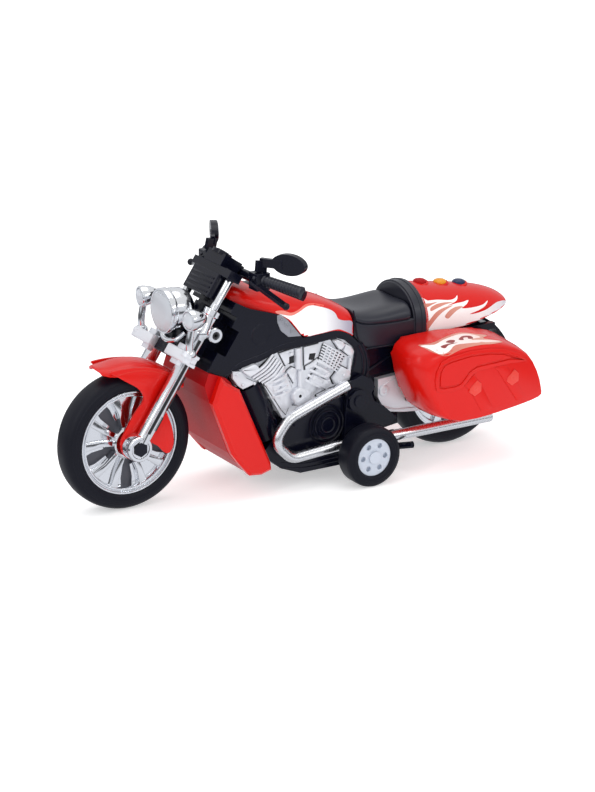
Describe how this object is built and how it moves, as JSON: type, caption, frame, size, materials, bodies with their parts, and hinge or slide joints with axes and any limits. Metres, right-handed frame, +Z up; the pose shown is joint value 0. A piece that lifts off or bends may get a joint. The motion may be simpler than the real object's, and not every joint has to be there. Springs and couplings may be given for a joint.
{
  "type": "toy motorcycle",
  "caption": "Push-along toy cruiser motorcycle with turning fork, stabiliser wheels, saddlebags, looped exhausts and sound buttons on the tail.",
  "frame": {"origin": "on the ground, midway between the wheels, in the middle plane", "axes": "+X forward, +Y to the rider's left, +Z up"},
  "size_m": [0.2784, 0.1018, 0.1358],
  "materials": {
    "black_abs": "moulded black ABS, satin gloss",
    "red_abs": "glossy red ABS",
    "dark_red_abs": "glossy deep red ABS",
    "silver_plastic": "silver sprayed ABS",
    "chrome_plastic": "vacuum plated ABS",
    "tyre_rubber": "soft moulded tyre, satin",
    "hub_silver": "silver grey moulded hub",
    "clear_lens": "clear polystyrene",
    "red_button": "glossy red button",
    "yellow_button": "glossy yellow button",
    "blue_button": "glossy blue button",
    "steel": "bright steel",
    "gear_plastic": "natural acetal",
    "board_green": "solder mask",
    "cell_steel": "nickel plated button cells",
    "speaker_black": "pressed steel and paper",
    "black_satin": "soft textured black plastic"
  },
  "bodies": {
    "chassis": {"frame_left": "black_abs", "frame_right": "black_abs", "body_screws": "steel", "battery_door": "black_abs", "battery_cells": "cell_steel", "speaker": "speaker_black", "engine_left": "silver_plastic", "engine_right": "silver_plastic", "exhaust_left": "chrome_plastic", "exhaust_right": "chrome_plastic", "chin_fairing": "dark_red_abs", "side_panel_left": "red_abs", "side_panel_right": "red_abs", "fuel_tank": "red_abs", "seat": "black_satin", "backrest": "black_abs", "tail_shell": "red_abs", "circuit_board": "board_green", "rear_fender": "black_abs", "saddlebag_left": "red_abs", "saddlebag_right": "red_abs", "bag_backs": "red_abs", "swing_arm_left": "silver_plastic", "swing_arm_right": "silver_plastic", "rear_axle": "steel", "trainer_bracket_left": "black_abs", "trainer_bracket_right": "black_abs", "trainer_axle": "steel"},
    "fork": {"fork_leg_left": "chrome_plastic", "fork_leg_right": "chrome_plastic", "fork_tubes": "chrome_plastic", "front_axle": "steel", "axle_nuts": "black_abs", "lower_yoke": "silver_plastic", "turn_signal_left": "chrome_plastic", "turn_signal_right": "chrome_plastic", "nose_cover": "black_abs", "console": "black_abs", "handlebar": "black_abs", "mirror_left": "black_abs", "mirror_right": "black_abs", "headlight_housing": "chrome_plastic", "headlight_lens": "clear_lens", "headlight_led": "clear_lens", "front_fender": "red_abs"},
    "front_wheel": {"front_tyre": "tyre_rubber", "front_rim": "chrome_plastic"},
    "rear_wheel": {"rear_tyre": "tyre_rubber", "rear_rim": "chrome_plastic"},
    "idler": {"idler_gear": "gear_plastic"},
    "flywheel_body": {"flywheel": "steel"},
    "stabiliser_left": {"trainer_hub_left": "hub_silver", "trainer_tyre_left": "tyre_rubber"},
    "stabiliser_right": {"trainer_hub_right": "hub_silver", "trainer_tyre_right": "tyre_rubber"},
    "red_button": {"button_red": "red_button"},
    "yellow_button": {"button_yellow": "yellow_button"},
    "blue_button": {"button_blue": "blue_button"},
    "stand": {"side_stand": "black_abs"}
  },
  "joints": [
    {"name": "steering", "type": "hinge", "parent": "chassis", "child": "fork", "pos_m": [0.07189, 0, 0.07688], "axis": [-0.5563, 0, 0.831], "range_deg": [-15, 15]},
    {"name": "front_wheel_spin", "type": "hinge", "parent": "fork", "child": "front_wheel", "pos_m": [0.1022, 0, 0.037], "axis": [0, 1, 0], "continuous": true},
    {"name": "rear_wheel_spin", "type": "hinge", "parent": "chassis", "child": "rear_wheel", "pos_m": [-0.1022, 0, 0.037], "axis": [0, 1, 0], "continuous": true},
    {"name": "idler_spin", "type": "hinge", "parent": "chassis", "child": "idler", "pos_m": [-0.0722, 0, 0.037], "axis": [0, 1, 0], "continuous": true},
    {"name": "flywheel_spin", "type": "hinge", "parent": "chassis", "child": "flywheel_body", "pos_m": [-0.0552, 0, 0.037], "axis": [0, 1, 0], "continuous": true},
    {"name": "left_stabiliser_spin", "type": "hinge", "parent": "chassis", "child": "stabiliser_left", "pos_m": [-0.0267, 0, 0.01675], "axis": [0, 1, 0], "continuous": true},
    {"name": "right_stabiliser_spin", "type": "hinge", "parent": "chassis", "child": "stabiliser_right", "pos_m": [-0.0267, 0, 0.01675], "axis": [0, 1, 0], "continuous": true},
    {"name": "red_button_press", "type": "slide", "parent": "chassis", "child": "red_button", "axis": [0, 0, -1], "range_m": [0, 0.0015], "stiffness_N_per_m": 300, "springref_m": -0.0008},
    {"name": "yellow_button_press", "type": "slide", "parent": "chassis", "child": "yellow_button", "axis": [0, 0, -1], "range_m": [0, 0.0015], "stiffness_N_per_m": 300, "springref_m": -0.0008},
    {"name": "blue_button_press", "type": "slide", "parent": "chassis", "child": "blue_button", "axis": [0, 0, -1], "range_m": [0, 0.0015], "stiffness_N_per_m": 300, "springref_m": -0.0008},
    {"name": "side_stand_swing", "type": "hinge", "parent": "chassis", "child": "stand", "pos_m": [-0.038, 0.0257, 0.0126], "axis": [0, -1, 0], "range_deg": [0, 40]}
  ],
  "couplings": [
    {"joint": "idler_spin", "follows": "rear_wheel_spin", "ratio": -1.5},
    {"joint": "flywheel_spin", "follows": "rear_wheel_spin", "ratio": 3.6}
  ]
}
